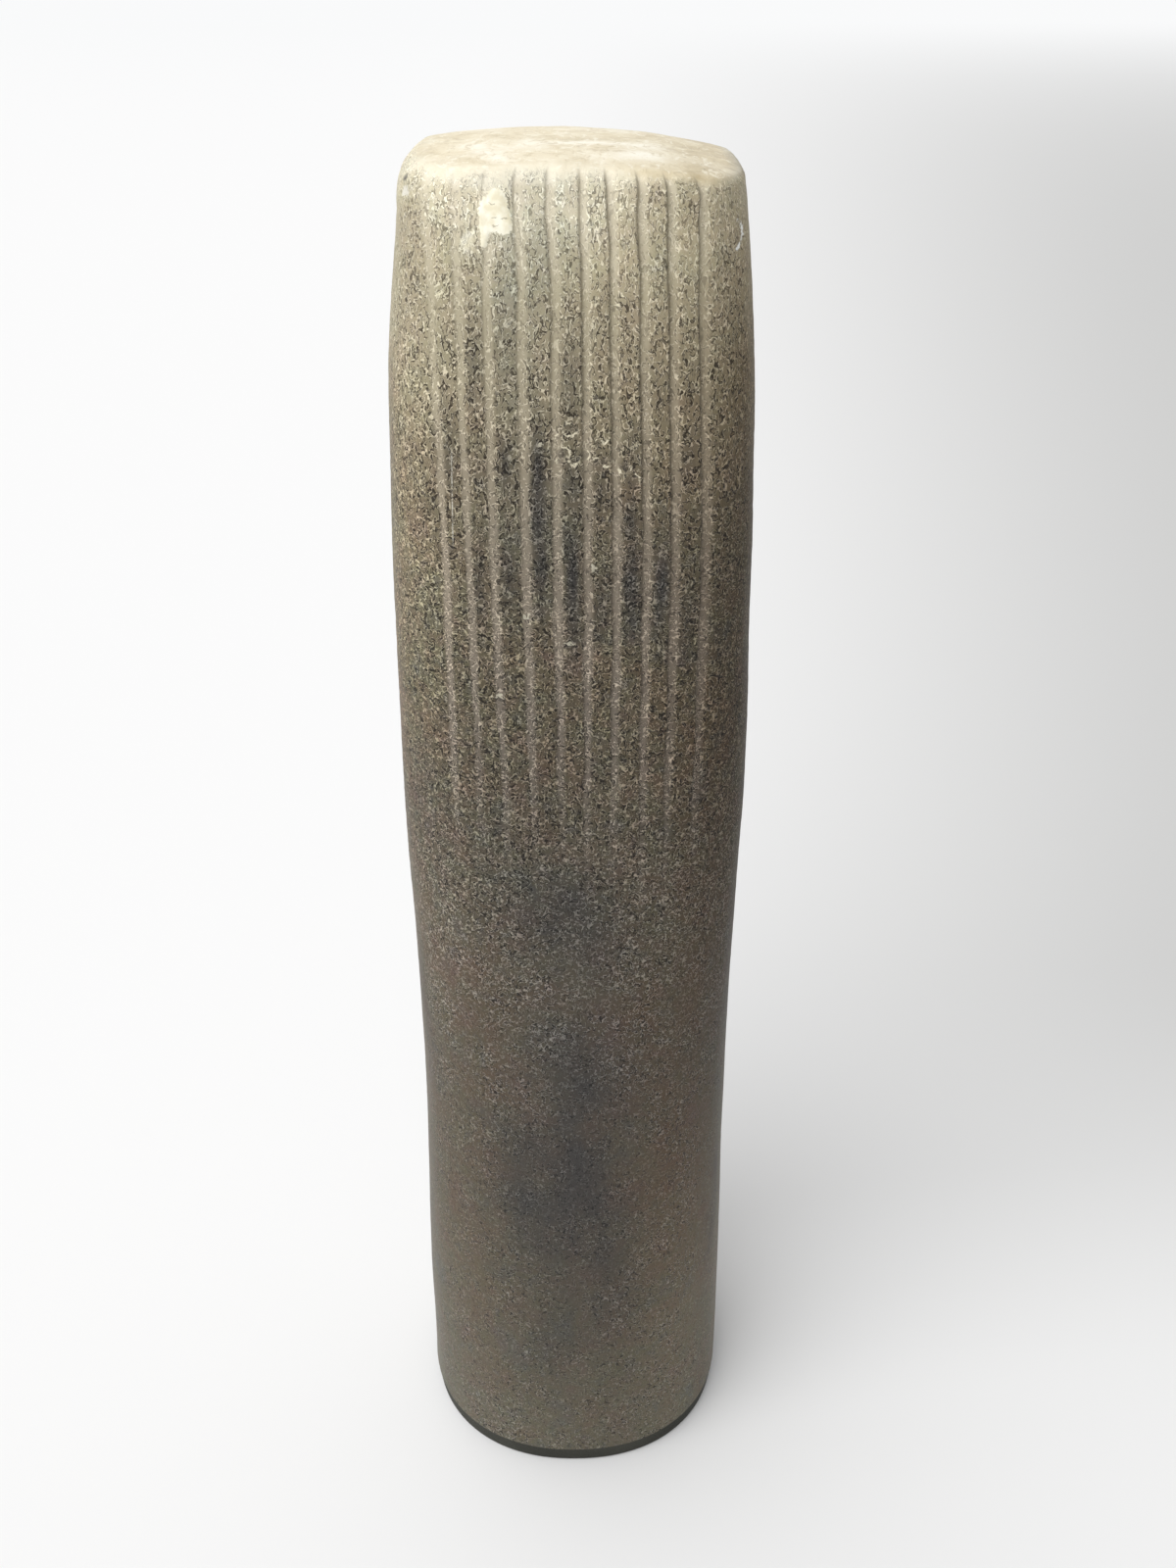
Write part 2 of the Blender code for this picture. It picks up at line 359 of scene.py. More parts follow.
# The long blue-grey stain down the middle of the grip.
GRIP_STAINS = (
    (-1.5, 135.5, 6.5, 9.0, 0.60),
    (-7.4, 136.7, 4.0, 5.0, 0.35),
    (2.5, 129.0, 6.0, 9.0, 0.50),
    (-1.0, 108.0, 7.5, 13.0, 0.45),
    (3.5, 98.0, 6.5, 11.0, 0.85),
    (-2.0, 82.0, 9.5, 13.0, 0.98),
    (-6.5, 66.0, 8.0, 10.0, 0.92),
    (-4.0, 40.0, 8.0, 16.0, 0.50),
    (5.5, 57.0, 7.0, 18.0, 0.60),
)
# Purple-brown and red-brown fields: x, z, half width, half height, strength.
BROWN_FIELDS = (
    (12.6, 116.4, 6.0, 9.0, 0.9),
    (21.3, 114.0, 5.0, 9.0, 0.8),
    (22.3, 130.0, 5.0, 9.0, 0.6),
    (7.0, 57.0, 5.0, 11.0, 0.6),
    (16.0, 80.0, 9.0, 30.0, 0.7),
    (-17.0, 116.0, 6.0, 10.0, 0.5),
    (-16.0, 84.0, 8.0, 16.0, 0.4),
)
# Blue-grey fields among the grooves: x, z, half width, half height, strength.
COOL_FIELDS = (
    (-8.5, 239.0, 4.5, 9.0, 0.9),
    (-3.0, 243.0, 4.0, 6.0, 0.7),
    (-6.0, 226.0, 6.0, 8.0, 0.5),
    (-5.0, 208.0, 5.0, 10.0, 0.6),
    (-20.0, 168.0, 5.0, 14.0, 0.7),
    (-14.0, 150.0, 8.0, 12.0, 0.5),
    (-24.0, 150.0, 5.5, 17.0, 1.0),
    (-3.0, 133.0, 8.0, 10.0, 0.5),
)
# Small fresh nicks: x, y, z, radii in x and z.
NICKS = (
    (-4.5, -29.6, 216.0, 0.55, 0.40),
    (-6.8, -29.5, 189.4, 0.36, 0.60),
    (-0.2, -30.2, 185.0, 1.20, 0.24),
    (-11.4, -29.7, 175.9, 0.80, 0.32),
    (3.5, -29.8, 197.2, 0.50, 0.90),
)
# Flaked spots with a pale curved lip: x and z of the hollow, radius, and the side (degrees) that the lip is on.
FLAKES = (
    (-0.1, 218.7, 1.15, -85.0),
    (-0.4, 219.0, 0.45, 90.0),
    (-1.8, 217.2, 0.40, 135.0),
    (-1.2, 214.8, 1.10, 45.0),
    (-1.6, 213.6, 0.45, 180.0),
    (-0.2, 213.2, 0.50, 90.0),
    (0.6, 213.6, 0.55, -80.0),
    (1.9, 214.5, 0.85, 0.0),
    (3.8, 213.6, 0.60, 80.0),
    (5.2, 213.8, 0.80, -85.0),
    (5.0, 216.8, 0.45, -45.0),
    (4.2, 216.2, 0.70, 90.0),
    (7.9, 212.9, 1.00, -80.0),
    (9.0, 210.6, 1.30, 75.0),
)
FLAKE_Y = -29.6
# A thin crescent chip at the right of the head.
CHIP_RIGHT = tuple(
    (23.3 + 1.5 * math.cos(turn), -23.2 + 3.0 * math.cos(turn), 244.3 + 2.0 * math.sin(turn))
    for turn in (0.15 * step for step in range(-8, 9))
)
CHIP_LEFT = (-23.6, -19.3, 249.9)
# Pale mineral crust near the left of the rim: ellipses as x, z, half width, half height.
CRUST = ((-10.0, 250.0, 1.35, 1.25), (-10.2, 248.2, 1.85, 1.7), (-9.1, 246.9, 1.15, 1.6), (-11.7, 247.4, 0.85, 2.7), (-11.8, 245.0, 0.55, 1.5), (-10.6, 246.5, 1.0, 0.95))
CRUST_HOLES = ((-10.7, 249.4, 0.45, 0.10), (-10.4, 247.5, 0.50, 0.12), (-8.9, 247.4, 0.50, 0.13), (-10.1, 246.5, 0.40, 0.10))
CRUST_FAINT = (-14.1, 244.4, 0.95, 1.4)
CRUST_Y = -27.6


def carve():
    grid, share, past = plain_grid()
    normals = grid_normals(grid)
    rings, cols, _ = grid.shape
    P = grid.reshape(-1, 3)
    Nn = normals.reshape(-1, 3)
    x, y, z = P.T
    past = past.reshape(-1)
    front = np.tile(np.arange(cols) < len(FRONT_U), rings)
    groove_share = np.repeat(share, cols)
    u = np.tile(np.concatenate([FRONT_U, np.full(cols - len(FRONT_U), -9.0)]), rings)

    # --- grooves: steep on the -X side, then a smooth floor that ramps up to the next ridge
    ragged_edge = noise(P * np.array([1.0, 1.0, 0.6]), 0.0013, 21)
    depth = np.zeros(len(P))
    floor = np.zeros(len(P))
    crease_shade = np.zeros(len(P))
    lip = np.zeros(len(P))
    for k in range(GROOVE_COUNT):
        near = front & (np.abs(u - k) <= 0.5)
        zz = np.minimum(z[near], 0.2522)
        wide = GROOVE_WIDTH * (1.0 + 0.15 * waver(zz, k + 3.3, 0.026)) * np.interp(zz, [0.145, 0.185], [0.75, 1.0])
        s = (u[near] - k) * 0.0043 / (wide / 2)
        ragged_s = s + 0.20 * ragged_edge[near]
        end = GROOVE_END_LEFT + (GROOVE_END_RIGHT - GROOVE_END_LEFT) * k / (GROOVE_COUNT - 1)
        end = end + 0.004 * math.sin(2.3 * k)
        fade = smoothstep((zz - end) / GROOVE_FADE) * groove_share[near]
        wall = smoothstep((s + 1.08) / 0.42)
        ramp = 1.0 - smoothstep((s + 0.35) / 1.45)
        deep = GROOVE_DEPTH * GROOVE_SHARE[k] * (1.0 + 0.22 * waver(zz, k + 7.7, 0.034))
        deep = deep * np.interp(zz, [0.195, 0.228], [0.72, 1.0])
        depth[near] = wall * ramp * deep * fade
        seen = smoothstep((zz - end + 0.010) / (GROOVE_FADE * 0.85)) * np.clip(groove_share[near] * 1.3, 0, 1)
        seen = seen * (1.0 - (1.0 - np.interp(k, [0, 4], [0.60, 1.0])) * smoothstep((zz - 0.236) / 0.010))
        floor[near] = smoothstep((ragged_s + 1.15) / 0.45) * (1.0 - smoothstep((ragged_s - 0.20) / 0.80)) * seen
        # Painted shade along each groove's steep side, strongest on the right-hand grooves, which turn away from the
        # light.
        crease_shade[near] = np.exp(-(((s + 0.93) / 0.24) ** 2)) * fade * np.interp(k, [0, 3, 6, 9], [0.10, 0.30, 0.80, 1.0])
        crease_shade[near] *= np.interp(zz, [0.190, 0.225], [0.35, 1.0])
        # Painted highlight where the floor rises onto the next ridge, facing the light.
        lip[near] = np.exp(-(((s - 1.15) / 0.45) ** 2)) * seen

    # --- how coarse the pecked surface is: rough head, smoother grip and flanks, smooth crown
    up = z + 0.006 * noise(P, 0.02, 31)
    head = np.interp(up, [0.0, 0.045, 0.085, 0.115, 0.145, 0.225, 0.25], [0.36, 0.40, 0.50, 0.70, 1.0, 1.0, 0.75])
    flank = smoothstep((np.abs(Nn[:, 0]) - 0.86) / 0.13)
    head = head * (1.0 - 0.50 * flank)
    left_corner = smoothstep((-x - 0.016) / 0.006)
    over = past + 0.22 * layered(P * np.array([1.0, 1.0, 0.45]), 0.0045, 41, 2) - 0.30 * left_corner
    crown = smoothstep((over - 0.30) / 0.55)
    smooth_floor = np.interp(z, [0.15, 0.20], [0.30, 0.68])
    pecked = head * (1.0 - smooth_floor * floor) * (1.0 - 0.88 * crown)
    on_side = smoothstep((z - FOOT_RISE) / 0.003)

    d = -depth
    d += 0.00022 * layered(P, 0.034, 51, 2) * on_side
    pits = layered(P, 0.0026, 61, 2, 0.6)
    d += pecked * on_side * (0.00008 * pits - 0.00014 * np.clip(-pits - 0.25, 0.0, 1.0))
    d += pecked * on_side * 0.00006 * noise(P, 0.0013, 67)
    d += crown * 0.00010 * layered(P, 0.007, 71, 2)

    # --- nicks, chips and the crust
    def ellipse(cx, cz, rx, rz):
        return np.sqrt(((x / MM - cx) / rx) ** 2 + ((z / MM - cz) / rz) ** 2)

    facing = y < -0.012
    jag = noise(P, 0.0012, 83)
    for cx, cy, cz, rx, rz in NICKS:
        d -= 0.00020 * smoothstep((1.2 - ellipse(cx, cz, rx * 0.8, rz * 1.3) - 0.3 * jag) / 0.7) * facing
    for cx, cz, radius, _ in FLAKES:
        d -= 0.00014 * smoothstep((1.1 - ellipse(cx, cz, radius, radius) - 0.3 * jag) / 0.7) * facing
    for centre in CHIP_RIGHT[::2]:
        d -= 0.00016 * smoothstep((1.2 - spot(P, centre, (0.5, 1.4, 0.6)) - 0.25 * jag) / 0.6)
    d -= 0.00045 * smoothstep((1.2 - spot(P, CHIP_LEFT, (1.5, 2.2, 1.3)) - 0.25 * jag) / 0.6)
    r = np.min([ellipse(*e) for e in CRUST], axis=0) + 0.18 * noise(P, 0.0016, 91)
    holes = np.min([ellipse(*e) for e in CRUST_HOLES], axis=0)
    crust = smoothstep((1.08 - r) / 0.30) * facing
    d += crust * (0.00024 + 0.85 * depth) - 0.00011 * smoothstep((1.25 - holes) / 0.4) * facing

    # --- stains
    front_face = smoothstep((-y - 0.012) / 0.010)
    flow = P * np.array([1.0, 1.0, 0.30])
    ragged = layered(flow, 0.0045, 103, 2)
    stain = np.zeros(len(P))
    for cx, cz, rx, rz, amount in RIDGE_STAINS:
        stain = np.maximum(stain, amount * np.exp(-0.75 * ellipse(cx, cz, rx, rz) ** 2) * front_face)
    stain = stain * (0.85 + 0.7 * ragged) * (1.0 - 0.75 * floor)
    grip = np.zeros(len(P))
    for cx, cz, rx, rz, amount in GRIP_STAINS:
        grip = 1.0 - (1.0 - grip) * (1.0 - amount * np.exp(-0.9 * ellipse(cx, cz, rx, rz) ** 2) * front_face)
    grip = grip * (0.98 + 0.60 * layered(P * np.array([1.0, 1.0, 0.6]), 0.009, 105, 3))
    # The same kind of staining, placed by noise alone, on the flanks and back.
    around = np.clip(layered(P * np.array([1.0, 1.0, 0.5]), 0.016, 101, 4, 0.6) - 0.05, 0.0, 1.0) * (0.8 + 0.6 * ragged) * (1.0 - front_face)
    around = around * np.interp(z, [0.0, 0.03, 0.22, 0.245], [0.5, 1.0, 0.9, 0.2])
    soot = np.clip(np.maximum(stain, grip) + 0.8 * around, 0.0, 1.0)

    rust = np.zeros(len(P))
    for cx, cz, rx, rz, amount in BROWN_FIELDS:
        rust = np.maximum(rust, amount * np.exp(-0.8 * ellipse(cx, cz, rx, rz) ** 2) * front_face)
    rust = rust + 0.55 * np.clip(layered(flow, 0.015, 111, 3), 0.0, 1.0) * np.interp(z, [0.20, 0.235], [1.0, 0.25])
    rust = np.clip(rust * (0.8 + 0.6 * layered(flow, 0.007, 113, 2)), 0.0, 1.0)

    cool = np.zeros(len(P))
    for cx, cz, rx, rz, amount in COOL_FIELDS:
        cool = np.maximum(cool, amount * np.exp(-0.8 * ellipse(cx, cz, rx, rz) ** 2) * front_face)
    cool = np.clip(cool * (0.8 + 0.6 * layered(flow, 0.006, 117, 2)), 0.0, 1.0)

    # Painted shade: the right-hand flank, turned away from the light, is darker, most of all beside the grooves and
    # along its outer edge.
    shade = smoothstep((x - 0.003) / 0.021) * smoothstep((0.024 - y) / 0.020)
    shade = shade * np.interp(
        z, [0.0, 0.03, 0.06, 0.09, 0.13, 0.17, 0.225, 0.245, 0.256], [0.0, 0.0, 0.05, 0.12, 0.35, 0.70, 0.65, 0.15, 0.1]
    )

    shade = shade + 0.5 * smoothstep((x - 0.0205) / 0.006) * np.interp(z, [0.12, 0.19, 0.235, 0.25], [0.0, 0.7, 1.0, 0.8])

    # Painted light: the left-hand flank, which faces the light, is paler, and so is the lower right of the bar near the
    # foot.
    painted_light = smoothstep((-x - 0.013) / 0.013) * np.interp(z, [0.0, 0.06, 0.10, 0.14, 0.20, 0.235], [0.0, 0.15, 0.38, 0.76, 0.78, 0.0])
    painted_light = np.maximum(painted_light, smoothstep((x - 0.006) / 0.020) * np.interp(z, [0.0, 0.035, 0.065, 0.10], [1.0, 1.0, 0.66, 0.05]))

    # Painted highlight: the rim is nearly white at the left, where it rounds over towards the light, in teeth that run
    # down the ridges.
    teeth = past + 0.30 * noise(P * np.array([1.0, 1.0, 0.25]), 0.0022, 131) - 0.35 * left_corner
    rim = smoothstep((teeth - 0.02) / 0.50) * (1.0 - smoothstep((past - 0.75) / 0.5))
    rim = rim * (1.0 - smoothstep((x - 0.001) / 0.012)) * smoothstep((-y - 0.010) / 0.012)
    # Along the far and right-hand edges of the crown the greyer stone shows.
    grey = smoothstep((1.5 - past) / 0.6) * smoothstep((past + 0.2) / 0.4)
    grey = grey * np.maximum(smoothstep((y - 0.010) / 0.012), smoothstep((x - 0.020) / 0.005))
    # The right-hand corner of the crown is browner.
    corner = smoothstep((x - 0.008 + 0.004 * noise(P, 0.006, 133)) / 0.013) * smoothstep((past - 0.2) / 0.5)

    # Pale worn streaks across the crown.
    on_top = smoothstep((past - 0.9) / 0.4)
    bend = y / MM + 10.6 - 0.10 * x / MM + 1.2 * noise(P, 0.008, 121)
    streak = np.exp(-((bend / 2.0) ** 2)) * smoothstep((x / MM + 9.0) / 5.0) * smoothstep((15.0 - x / MM) / 5.0)
    streak = np.maximum(streak, 0.8 * np.exp(-(((x / MM + 13.0 + 0.4 * y / MM + 5.5) / 1.6) ** 2)) * smoothstep((-y / MM - 8.0) / 4.0))
    streak = np.maximum(streak, np.exp(-((ellipse(10.5, 254.4, 2.4, 6.0)) ** 2)) * np.exp(-(((y / MM + 17.3) / 2.4) ** 2)))
    streak = np.clip((streak + 0.55 * np.clip(layered(P, 0.010, 123, 2), 0.0, 1.0)) * on_top, 0.0, 1.0)

    moved = P + Nn * d[:, None]
    # Nothing goes under the floor; the resting face stays flat.
    moved[:, 2] = np.maximum(moved[:, 2], 0.0)
    flat = np.repeat(np.arange(rings) < 4, cols)
    moved[flat] = P[flat]

    masks = {
        "groove": floor,
        "crease_shade": crease_shade,
        "lip": lip,
        "pecked": pecked,
        "crown": crown,
        "soot": soot,
        "rust": rust,
        "cool": cool,
        "streak": streak,
        "shade": shade,
        "painted_light": painted_light,
        "rim": rim,
        "corner": corner,
        "grey": grey,
        # painted shade on the foot below the arris
        "foot": 1.0 - smoothstep((z - FOOT_RISE + 0.0003) / 0.0003),
    }
    return moved.reshape(rings, cols, 3), {k: v.reshape(rings, cols) for k, v in masks.items()}


def stone_object():
    grid, masks = carve()
    rings, cols, _ = grid.shape
    points = grid.reshape(-1, 3)
    foot = np.array([[0.0, 0.0, 0.0]])
    apex = np.array([[grid[-1, :, 0].mean(), grid[-1, :, 1].mean(), grid[-1, :, 2].mean() + 0.00002]])
    verts = np.concatenate([points, foot, apex])
    i = np.arange(cols)
    j = (i + 1) % cols
    quads = np.concatenate([
        np.stack([r * cols + i, r * cols + j, (r + 1) * cols + j, (r + 1) * cols + i], 1)
        for r in range(rings - 1)
    ])
    low = np.stack([j, i, np.full(cols, rings * cols)], 1)
    high = np.stack([(rings - 1) * cols + i, (rings - 1) * cols + j, np.full(cols, rings * cols + 1)], 1)
    mesh = bpy.data.meshes.new("stone_surface")
    mesh.from_pydata(verts.tolist(), [], quads.tolist() + low.tolist() + high.tolist())
    for name, values in masks.items():
        ends = [values[0].mean(), values[-1].mean()]
        layer = mesh.attributes.new(name, "FLOAT", "POINT")
        layer.data.foreach_set("value", np.concatenate([values.reshape(-1), ends]).astype(np.float32))
    mesh.validate()
    mesh.shade_smooth()
    mesh.set_sharp_from_angle(angle=math.radians(62.0))
    obj = bpy.data.objects.new("stone_surface", mesh)
    bpy.context.scene.collection.objects.link(obj)
    return obj


# ------------------------------------------------------------ materials
def lin(r, g, b):
    """A colour given as it looks on a screen (0 to 255), as the shader wants it."""
    out = []
    for v in (r, g, b):
        v /= 255.0
        out.append(v / 12.92 if v <= 0.04045 else ((v + 0.055) / 1.055) ** 2.4)
    return (*out, 1.0)


class Nodes:
    """Short names for building a node tree."""

    def __init__(self, material):
        material.use_nodes = True
        self.tree = material.node_tree
        self.shader = self.tree.nodes["Principled BSDF"]

    def new(self, kind, **settings):
        node = self.tree.nodes.new(kind)
        for key, value in settings.items():
            setattr(node, key, value)
        return node

    def link(self, a, b):
        self.tree.links.new(a, b)

    def put(self, socket, value):
        if isinstance(value, bpy.types.NodeSocket):
            self.link(value, socket)
        else:
            socket.default_value = value

    def attribute(self, name):
        return self.new("ShaderNodeAttribute", attribute_name=name).outputs["Fac"]

    def noise_node(self, vector, scale, detail=2.0, rough=0.5, distortion=0.0):
        node = self.new("ShaderNodeTexNoise")
        self.link(vector, node.inputs["Vector"])
        node.inputs["Scale"].default_value = scale
        node.inputs["Detail"].default_value = detail
        node.inputs["Roughness"].default_value = rough
        node.inputs["Distortion"].default_value = distortion
        return node

    def noise(self, *given, **named):
        return self.noise_node(*given, **named).outputs["Fac"]

    def math(self, operation, a, b=0.0, clamp=False):
        node = self.new("ShaderNodeMath", operation=operation, use_clamp=clamp)
        self.put(node.inputs[0], a)
        self.put(node.inputs[1], b)
        return node.outputs[0]

    def vector(self, operation, a, b=(0.0, 0.0, 0.0)):
        node = self.new("ShaderNodeVectorMath", operation=operation)
        self.put(node.inputs[0], a)
        self.put(node.inputs[1], b)
        return node.outputs["Value"] if operation == "LENGTH" else node.outputs["Vector"]

    def remap(self, value, low, high, to_low=0.0, to_high=1.0, kind="SMOOTHSTEP"):
        node = self.new("ShaderNodeMapRange", interpolation_type=kind)
        self.put(node.inputs["Value"], value)
        node.inputs["From Min"].default_value = low
        node.inputs["From Max"].default_value = high
        node.inputs["To Min"].default_value = to_low
        node.inputs["To Max"].default_value = to_high
        return node.outputs["Result"]

    def ramp(self, value, stops):
        node = self.new("ShaderNodeValToRGB")
        elements = node.color_ramp.elements
        while len(elements) > 1:
            elements.remove(elements[-1])
        elements[0].position, elements[0].color = stops[0]
        for position, colour in stops[1:]:
            elements.new(position).color = colour
        self.put(node.inputs["Fac"], value)
        return node.outputs["Color"]

    def mix(self, factor, a, b, blend="MIX"):
        node = self.new("ShaderNodeMix", data_type="RGBA", blend_type=blend)
        node.clamp_factor = True
        self.put(node.inputs["Factor"], factor)
        self.put(node.inputs[6], a)
        self.put(node.inputs[7], b)
        return node.outputs[2]

    def tint(self, factor, tone, colour):
        """tone, multiplied by the colour as far as the factor says."""
        return self.mix(factor, tone, self.mix(1.0, tone, colour, "MULTIPLY"))

    def spot(self, vector, centre, radii):
        """Distance from a centre, 1 on the ellipsoid of the given radii (all mm)."""
        away = self.vector("SUBTRACT", vector, tuple(c * MM for c in centre))
        return self.vector("LENGTH", self.vector("MULTIPLY", away, tuple(1.0 / (r * MM) for r in radii)))

    def nearest(self, values):
        out = values[0]
        for value in values[1:]:
            out = self.math("MINIMUM", out, value)
        return out


def stone_material():
    material = bpy.data.materials.new("worn_ground_stone")
    n = Nodes(material)
    where = n.new("ShaderNodeTexCoord").outputs["Object"]
    split = n.new("ShaderNodeSeparateXYZ")
    n.link(where, split.inputs[0])
    x, y, z = split.outputs
    height = n.math("DIVIDE", z, 0.256)

    groove = n.attribute("groove")
    crease_shade = n.attribute("crease_shade")
    lip = n.attribute("lip")
    pecked = n.attribute("pecked")
    crown = n.attribute("crown")
    soot = n.attribute("soot")
    rust = n.attribute("rust")
    cool = n.attribute("cool")
    streak = n.attribute("streak")
    shade = n.attribute("shade")
    painted_light = n.attribute("painted_light")
    rim = n.attribute("rim")
    corner = n.attribute("corner")
    grey = n.attribute("grey")
    foot = n.attribute("foot")

    # Broad tones up the bar, wandering a little.
    wander = n.noise(where, 42.0, 2.0, 0.55)
    level = n.math("ADD", height, n.math("MULTIPLY", n.math("SUBTRACT", wander, 0.5), 0.10))
    tone = n.ramp(level, TONES)

    # Weathering in patches: red-brown, ochre, olive and blue-grey.
    tone = n.tint(n.math("MULTIPLY", rust, 0.75), tone, lin(255, 228, 210))
    calmer = n.remap(z, 0.17, 0.235, 1.0, 0.28)
    for scale, share, offset in ((105.0, 0.50, (0.31, 0.17, 0.05)), (330.0, 0.55, (0.53, 0.29, 0.41))):
        patches = n.noise(n.vector("ADD", where, offset), scale, 2.0, 0.6, 0.4)
        hues = n.ramp(patches, [
            (0.30, lin(255, 234, 236)),
            (0.43, lin(255, 243, 218)),
            (0.50, lin(252, 250, 240)),
            (0.57, lin(246, 250, 218)),
            (0.70, lin(230, 242, 255)),
        ])
        tone = n.tint(n.math("MULTIPLY", calmer, share), tone, hues)
    tone = n.tint(n.math("MULTIPLY", cool, 0.85), tone, lin(230, 240, 253))

    # Smooth paler floors of the grooves, with painted shade where their steep side starts.
    tone = n.mix(n.math("MULTIPLY", groove, n.remap(z, 0.145, 0.195, 0.45, 0.85)), tone, n.ramp(level, FLOOR_TONES))
    # Painted shade on the right-hand flank.
    tone = n.tint(n.math("MULTIPLY", shade, 0.8), tone, lin(204, 192, 178))
    duller = n.math("MULTIPLY", n.remap(x, -0.014, 0.008, 0.0, 0.7), n.remap(y, -0.02, -0.01, 1.0, 0.0))
    duller = n.math("MULTIPLY", duller, n.math("MULTIPLY", n.remap(z, 0.163, 0.180), n.remap(z, 0.204, 0.220, 1.0, 0.0)))
    tone = n.tint(duller, tone, lin(234, 233, 234))
    # Painted light on the left-hand flank and on the lower right near the foot.
    tone = n.mix(painted_light, tone, n.mix(1.0, tone, (1.52, 1.50, 1.46, 1.0), "MULTIPLY"))
    tone = n.mix(n.math("MULTIPLY", soot, 0.94), tone, lin(48, 46, 45))
    # Painted shade in the grooves' creases.
    tone = n.mix(n.math("MULTIPLY", crease_shade, 0.42), tone, lin(60, 54, 46))

    # Grain: short curled strokes, each pale on one side and dark on the other, partly the
    # stone's flecks and partly painted light and shade of a fine relief; close together on the
    # pecked head, sparse and faint on the grip.
    fine = n.noise(where, 2300.0, 1.0, 0.5, 0.8)
    patchy = n.remap(n.noise(where, 240.0, 2.0, 0.5), 0.30, 0.70, 0.70, 1.30, "LINEAR")
    worn = n.noise(n.vector("ADD", where, (0.21, 0.43, 0.11)), 125.0, 2.0, 0.5)
    worn = n.remap(worn, 0.38, 0.62, -0.48, 0.24, "LINEAR")
    worn = n.math("MULTIPLY", worn, n.remap(z, 0.115, 0.155, 1.0, 0.0))
    patchy = n.math("MULTIPLY", patchy, n.math("ADD", worn, 1.0))
    aside = n.math("MULTIPLY", n.remap(n.math("ABSOLUTE", x), 0.010, 0.026, 0.0, -0.20), n.remap(z, 0.115, 0.155, 1.0, 0.0))
    patchy = n.math("MULTIPLY", patchy, n.math("ADD", aside, 1.0))
    strong = n.math("MULTIPLY", n.ramp(pecked, [(0.0, (0.06, 0.06, 0.06, 1.0)), (0.38, (0.50, 0.50, 0.50, 1.0)), (1.0, (1.0, 1.0, 1.0, 1.0))]), patchy)
    closer = n.remap(pecked, 0.30, 1.0, -0.022, 0.050, "LINEAR")
    drawn_up = n.new("ShaderNodeCombineXYZ")
    thinner = n.remap(z, 0.195, 0.245, 1.0, 1.32, "LINEAR")
    n.link(n.math("MULTIPLY", x, thinner), drawn_up.inputs[0])
    n.link(n.math("MULTIPLY", y, thinner), drawn_up.inputs[1])
    n.link(n.math("SUBTRACT", z, n.math("MULTIPLY", n.math("MAXIMUM", n.math("SUBTRACT", z, 0.205), 0.0), 0.25)), drawn_up.inputs[2])
    stroked = drawn_up.outputs[0]
    pale, dark = [], []
    for scale, offset in ((1150.0, (0.0, 0.0, 0.0)), (1600.0, (0.13, 0.37, 0.23))):
        at = n.vector("ADD", stroked, offset)
        curl = n.noise(at, scale, 0.6, 0.5, 0.5)
        broken = n.noise(n.vector("ADD", at, (0.07, 0.11, 0.19)), scale * 1.2, 0.0)
        broken = n.remap(n.math("ADD", broken, closer), 0.480, 0.545)
        for found, middle, wide in ((pale, 0.50, 0.050), (dark, 0.595, 0.065)):
            line = n.remap(n.math("ABSOLUTE", n.math("SUBTRACT", curl, middle)), 0.016, wide, 1.0, 0.0)
            found.append(n.math("MULTIPLY", line, broken))
    pale = n.math("MAXIMUM", *pale)
    dark = n.math("MAXIMUM", *dark)
    relief = n.math("ADD", n.math("MULTIPLY", n.math("SUBTRACT", pale, dark), 0.5), n.math("MULTIPLY", fine, 0.4))
    dark = n.math("MAXIMUM", dark, n.remap(fine, 0.40, 0.26, 0.0, 0.35))
    pale = n.math("MULTIPLY", pale, n.math("MULTIPLY", strong, PALE_STROKES))
    # Painted highlight: more pale strokes where a groove's floor rises onto the next ridge.
    pale = n.math("MULTIPLY", pale, n.math("ADD", n.math("MULTIPLY", lip, 0.5), 1.0))
    pale = n.math("MULTIPLY", pale, n.math("SUBTRACT", 1.0, n.math("MULTIPLY", soot, 0.25)))
    dark = n.math("MULTIPLY", dark, n.math("MULTIPLY", strong, DARK_STROKES))
    pale = n.math("MULTIPLY", pale, n.remap(z, 0.070, 0.135, 0.68, 1.0))
    dark = n.math("MULTIPLY", dark, n.remap(z, 0.070, 0.135, 1.75, 1.0))
    dark = n.math("MULTIPLY", dark, n.remap(z, 0.205, 0.245, 1.0, 0.62, "LINEAR"))
    tone = n.mix(dark, tone, n.mix(1.0, tone, lin(120, 115, 110), "MULTIPLY"))
    brighter = n.ramp(height, [
        (0.70, (0.85, 0.85, 0.85, 1.0)),
        (0.86, (0.62, 0.63, 0.66, 1.0)),
        (0.95, (0.44, 0.455, 0.49, 1.0)),
    ])
    lighter = n.mix(1.0, tone, n.mix(1.0, brighter, (3.5, 3.5, 3.5, 1.0), "MULTIPLY"), "MULTIPLY")
    lighter = n.mix(1.0, lighter, (0.060, 0.059, 0.054, 1.0), "ADD")
    plain = n.new("ShaderNodeHueSaturation")
    plain.inputs["Saturation"].default_value = 0.60
    n.link(lighter, plain.inputs["Color"])
    lighter = n.mix(n.remap(z, 0.10, 0.17, 1.0, 0.0), lighter, plain.outputs["Color"])
    tone = n.mix(pale, tone, lighter)

